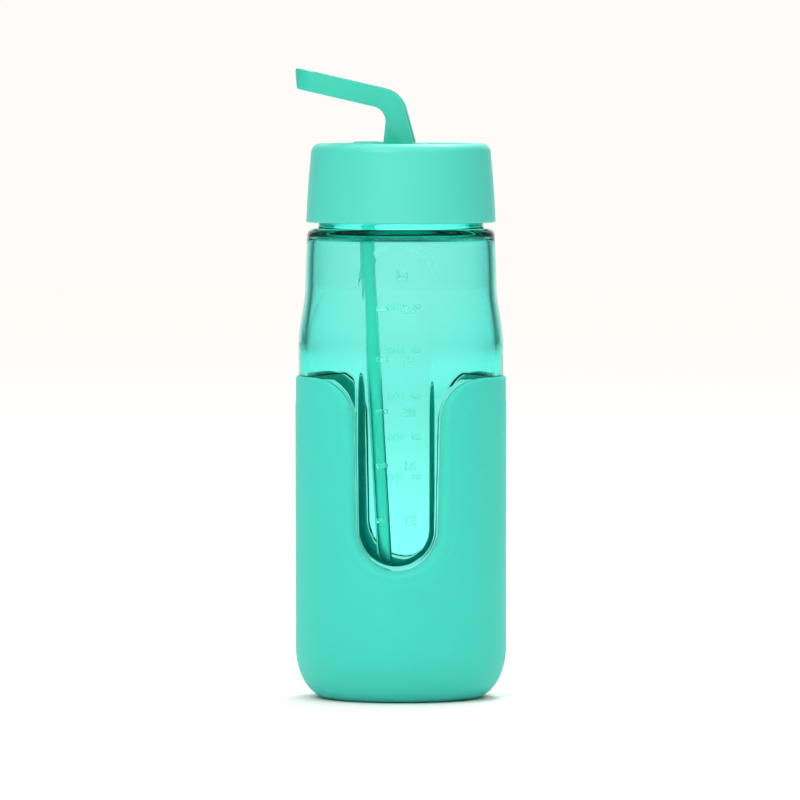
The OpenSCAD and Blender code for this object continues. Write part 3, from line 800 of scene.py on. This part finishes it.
straw = rounded_copy("straw", "straw_tube", 0.0, straw_plastic, corner=50)
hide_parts("straw")


# ---------------------------------------------------------------------------------------------
# Seals and coupler. Small parts moulded in clear white silicone: the ring between the mouth and
# the lid, the tube that grips the straw, the seal under the spout's hub, and the air valve.

# Clear silicone: milky white, a little cloudy inside, and dull enough to give no sharp glint.
SEAL_WHITE = "#e3eeea"
SEAL_CLOUD = "#d3e4df"
SEAL_CLOUDS_PER_M = 180.0
seal_rubber, tree = new_material("milky moulded silicone")
place = add_node(tree, "ShaderNodeTexCoord")
cloud = add_node(tree, "ShaderNodeTexNoise", inputs={
    "Vector": place.outputs["Object"], "Scale": SEAL_CLOUDS_PER_M, "Detail": 2.0,
})
shade = add_node(tree, "ShaderNodeMix", {"data_type": "RGBA"}, {
    "Factor": cloud.outputs["Fac"], "A": linear(SEAL_WHITE), "B": linear(SEAL_CLOUD),
})
shader = add_node(tree, "ShaderNodeBsdfPrincipled", inputs={
    "Base Color": shade.outputs["Result"], "Roughness": 0.42, "IOR": 1.41,
    "Subsurface Weight": 0.3, "Subsurface Scale": 0.0015,
})
add_node(tree, "ShaderNodeOutputMaterial", inputs={"Surface": shader.outputs[0]})

for node in ("lid_gasket", "straw_coupler", "spout_seal", "vent_valve"):
    piece = rounded_copy(node, node + "_soft", 0.25, seal_rubber)
    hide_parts(node)


# ---------------------------------------------------------------------------------------------
# Inner lid. The threaded liner and the deck on which both hinges stand are moulded in a lighter
# grade of the lid's plastic, and are welded into the shell.

# Polypropylene with less pigment: paler and a little glossier than the shell, with its grain.
INNER_MINT = "#6adccb"
INNER_DEEP = "#60d5c3"
INNER_CLOUDS_PER_M = 70.0
inner_plastic, tree = new_material("light moulded polypropylene")
place = add_node(tree, "ShaderNodeTexCoord")
cloud = add_node(tree, "ShaderNodeTexNoise", inputs={
    "Vector": place.outputs["Object"], "Scale": INNER_CLOUDS_PER_M, "Detail": 2.0,
})
shade = add_node(tree, "ShaderNodeMix", {"data_type": "RGBA"}, {
    "Factor": cloud.outputs["Fac"], "A": linear(INNER_MINT), "B": linear(INNER_DEEP),
})
grain = add_node(tree, "ShaderNodeTexNoise", inputs={
    "Vector": place.outputs["Object"], "Scale": PLASTIC_GRAINS_PER_M, "Detail": 1.0,
})
relief = add_node(tree, "ShaderNodeBump", inputs={
    "Height": grain.outputs["Fac"], "Strength": 0.08, "Distance": 0.0002,
})
shader = add_node(tree, "ShaderNodeBsdfPrincipled", inputs={
    "Base Color": shade.outputs["Result"], "Roughness": 0.34, "IOR": 1.49,
    "Normal": relief.outputs["Normal"],
})
add_node(tree, "ShaderNodeOutputMaterial", inputs={"Surface": shader.outputs[0]})

for node in ("lid_liner", "lid_deck"):
    piece = rounded_copy(node, node + "_moulded", 0.0, inner_plastic, corner=30)
    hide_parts(node)


# ---------------------------------------------------------------------------------------------
# Spout. The hub and arm are moulded in the inner lid's plastic, and a soft mouthpiece is pressed
# over the nose. It lies folded in the well, so that only the flat top of its hub shows over the rim.

# The paler plastic is partly painted light here: it makes the top of the hub over the rim look lit from
# above.
spout = rounded_copy("spout_body", "spout_arm", 0.8, inner_plastic)
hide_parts("spout_body")

# Soft silicone: paler and duller than the plastic round it, and a little milky.
MOUTH_MINT = "#7ce6d6"
MOUTH_DEEP = "#72dfce"
MOUTH_CLOUDS_PER_M = 120.0
mouth_silicone, tree = new_material("soft moulded mouthpiece silicone")
place = add_node(tree, "ShaderNodeTexCoord")
cloud = add_node(tree, "ShaderNodeTexNoise", inputs={
    "Vector": place.outputs["Object"], "Scale": MOUTH_CLOUDS_PER_M, "Detail": 2.0,
})
shade = add_node(tree, "ShaderNodeMix", {"data_type": "RGBA"}, {
    "Factor": cloud.outputs["Fac"], "A": linear(MOUTH_MINT), "B": linear(MOUTH_DEEP),
})
shader = add_node(tree, "ShaderNodeBsdfPrincipled", inputs={
    "Base Color": shade.outputs["Result"], "Roughness": 0.48, "IOR": 1.41,
    "Subsurface Weight": 0.3, "Subsurface Radius": (0.3, 1.0, 0.9), "Subsurface Scale": 0.001,
})
add_node(tree, "ShaderNodeOutputMaterial", inputs={"Surface": shader.outputs[0]})
mouthpiece = rounded_copy("mouthpiece", "mouthpiece_soft", 0.0, mouth_silicone, corner=50)
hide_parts("mouthpiece")


# ---------------------------------------------------------------------------------------------
# Hinges. Short pins of ground stainless steel in the deck's ears, and rubber washers that grip
# the handle's hubs, so that the handle stays where it is put.

# Stainless steel: a neutral grey metal, with fine grinding marks round each pin that vary its
# gloss. They are drawn about a millimetre apart.
STEEL_GREY = "#c9cccd"
STEEL_MARKS_PER_M = 800.0
STEEL_ROUGHNESS = (0.18, 0.34)
pin_steel, tree = new_material("ground stainless steel")
place = add_node(tree, "ShaderNodeTexCoord")
along = add_node(tree, "ShaderNodeMapping", inputs={
    "Vector": place.outputs["Object"], "Scale": (1.0, 8.0, 1.0),
})
scratches = add_node(tree, "ShaderNodeTexNoise", inputs={
    "Vector": along.outputs["Vector"], "Scale": STEEL_MARKS_PER_M, "Detail": 2.0,
})
polish = add_node(tree, "ShaderNodeMapRange", inputs={
    "Value": scratches.outputs["Fac"], "To Min": STEEL_ROUGHNESS[0], "To Max": STEEL_ROUGHNESS[1],
})
shader = add_node(tree, "ShaderNodeBsdfPrincipled", inputs={
    "Base Color": linear(STEEL_GREY), "Metallic": 1.0, "Roughness": polish.outputs["Result"],
})
add_node(tree, "ShaderNodeOutputMaterial", inputs={"Surface": shader.outputs[0]})

# Nitrile rubber: nearly black, dull, and dusty.
RUBBER_BLACK = "#34413f"
RUBBER_DUST = "#46534f"
RUBBER_DUST_PER_M = 600.0
washer_rubber, tree = new_material("moulded nitrile rubber")
place = add_node(tree, "ShaderNodeTexCoord")
dust = add_node(tree, "ShaderNodeTexNoise", inputs={
    "Vector": place.outputs["Object"], "Scale": RUBBER_DUST_PER_M, "Detail": 2.0,
})
shade = add_node(tree, "ShaderNodeMix", {"data_type": "RGBA"}, {
    "Factor": dust.outputs["Fac"], "A": linear(RUBBER_BLACK), "B": linear(RUBBER_DUST),
})
shader = add_node(tree, "ShaderNodeBsdfPrincipled", inputs={
    "Base Color": shade.outputs["Result"], "Roughness": 0.62, "IOR": 1.52,
})
add_node(tree, "ShaderNodeOutputMaterial", inputs={"Surface": shader.outputs[0]})

for node, radius, material, slot in (
    ("spout_pins", 0.2, pin_steel, "pin_steel"),
    ("handle_pins", 0.25, pin_steel, "pin_steel"),
    ("handle_washers", 0.15, washer_rubber, "washer_rubber"),
):
    piece = rounded_copy(node, node + "_turned", radius, material)
    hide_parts(node)


# ---------------------------------------------------------------------------------------------
# Volume marks. Raised bars and numerals pressed into the glass by its mould: fluid ounces on the
# front panel, and millilitres on the back one, where they read from behind.

MARK_GAP = 0.02
MARK_RISE = 0.32
MARK_EDGE = 0.13
BAR_HALF_H = 1.0
BAR_R = 0.9
NUMERAL_SIZE = 5.6
UNIT_SIZE = 5.4
BACK_NUMERAL_SIZE = NUMERAL_SIZE * 0.9
UNIT_Z = 179.3


def surface_r(z):
    """Radius of the panel's face at height z."""
    return glass_side_r(z) - (PANEL_DEPTH - PANEL_RIDGE) * panel_fade(z) + MARK_GAP


def wrapped(bm, back):
    """Bends a flat drawing in X and Y, raised in Z, round the glass, and turns it to the back."""
    for vertex in bm.verts:
        x, z, rise = vertex.co.x / MM, vertex.co.y / MM, vertex.co.z / MM
        radius = surface_r(z) + rise
        angle = x / surface_r(z) + (math.pi if back else 0.0)
        vertex.co = Vector((radius * math.sin(angle), -radius * math.cos(angle), z)) * MM
    return bm


def bar(bm, left, right, z):
    """A flat bar with round ends between two distances, standing a little out of the glass."""
    ring = []
    for centre, start in ((right - BAR_R, -90), (left + BAR_R, 90)):
        for step in range(7):
            a = math.radians(start + 30 * step)
            ring.append(bm.verts.new((
                (centre + BAR_R * math.cos(a)) * MM, (z + BAR_HALF_H * math.sin(a)) * MM, 0.0,
            )))
    face = bm.faces.new(ring)
    raised = bmesh.ops.extrude_face_region(bm, geom=[face])
    top = [g for g in raised["geom"] if isinstance(g, bmesh.types.BMVert)]
    bmesh.ops.translate(bm, vec=(0, 0, MARK_RISE * MM), verts=top)
    rim = [e for e in bm.edges if all(v in top for v in e.verts)]
    bmesh.ops.bevel(
        bm, geom=rim, offset=2 * MARK_EDGE * MM, offset_type="OFFSET", affect="EDGES",
        segments=2, profile=0.5, material=-1,
    )


def lettering(bm, text, size, left, z):
    """Adds raised text to a flat drawing, starting at left and centred on height z."""
    curve = bpy.data.curves.new("drawing", "FONT")
    curve.body = text
    curve.size = size * MM
    curve.extrude = (MARK_RISE / 2 - MARK_EDGE) * MM
    curve.bevel_depth = MARK_EDGE * MM
    curve.bevel_resolution = 1
    curve.resolution_u = 3
    drawing = bpy.data.objects.new("drawing", curve)
    bpy.context.scene.collection.objects.link(drawing)
    bpy.context.view_layer.update()
    mesh = bpy.data.meshes.new_from_object(drawing.evaluated_get(bpy.context.evaluated_depsgraph_get()))
    low = min(v.co.y for v in mesh.vertices)
    high = max(v.co.y for v in mesh.vertices)
    lift = MARK_RISE / 2 * MM
    mesh.transform(Matrix.Translation((left * MM, z * MM - (low + high) / 2, lift)))
    bm.from_mesh(mesh)
    bpy.data.objects.remove(drawing)
    bpy.data.curves.remove(curve)
    bpy.data.meshes.remove(mesh)


# The same glass, in a layer too thin to show its tint: only the rounded edges of each mark bend
# the light. The noise is the faint waviness of pressed glass, about 3 mm apart.
CLEAR_GLASS = "#e6fffb"
CLEAR_SHEEN = "#a8ffff"
CLEAR_WAVES_PER_M = 300.0
clear_glass, tree = new_material("thin pressed glass")
place = add_node(tree, "ShaderNodeTexCoord")
waves = add_node(tree, "ShaderNodeTexNoise", inputs={
    "Vector": place.outputs["Object"], "Scale": CLEAR_WAVES_PER_M, "Detail": 1.0,
})
ripple = add_node(tree, "ShaderNodeBump", inputs={
    "Height": waves.outputs["Fac"], "Strength": 0.05, "Distance": 0.0005,
})
shader = add_node(tree, "ShaderNodeBsdfPrincipled", inputs={
    "Base Color": linear(CLEAR_GLASS), "Roughness": 0.0, "IOR": 1.5,
    "Specular Tint": linear(CLEAR_SHEEN), "Transmission Weight": 1.0, "Normal": ripple.outputs["Normal"],
})
add_node(tree, "ShaderNodeOutputMaterial", inputs={"Surface": shader.outputs[0]})

front_bm = bmesh.new()
for ounces, z in ((28, 166.6), (24, 145.2), (20, 123.3), (16, 100.7), (12, 77.8)):
    bar(front_bm, -8.7, -3.6, z)
    lettering(front_bm, str(ounces), NUMERAL_SIZE, 2.6, z)
lettering(front_bm, "oz", UNIT_SIZE, -0.4, UNIT_Z)
back_bm = bmesh.new()
for millilitres, z in ((700, 164.5), (600, 146.2), (500, 126.6), (400, 108.9), (300, 91.8)):
    bar(back_bm, -7.3, -3.0, z)
    lettering(back_bm, str(millilitres), BACK_NUMERAL_SIZE, 0.4, z)
lettering(back_bm, "ml", UNIT_SIZE, -1.5, UNIT_Z)

for name, drawing, back in (("marks_ounces", front_bm, False), ("marks_millilitres", back_bm, True)):
    bmesh.ops.remove_doubles(drawing, verts=drawing.verts, dist=1e-6)
    piece = finished(wrapped(drawing, back), name, clear_glass, "bottle")
    for polygon in piece.data.polygons:
        polygon.use_smooth = False
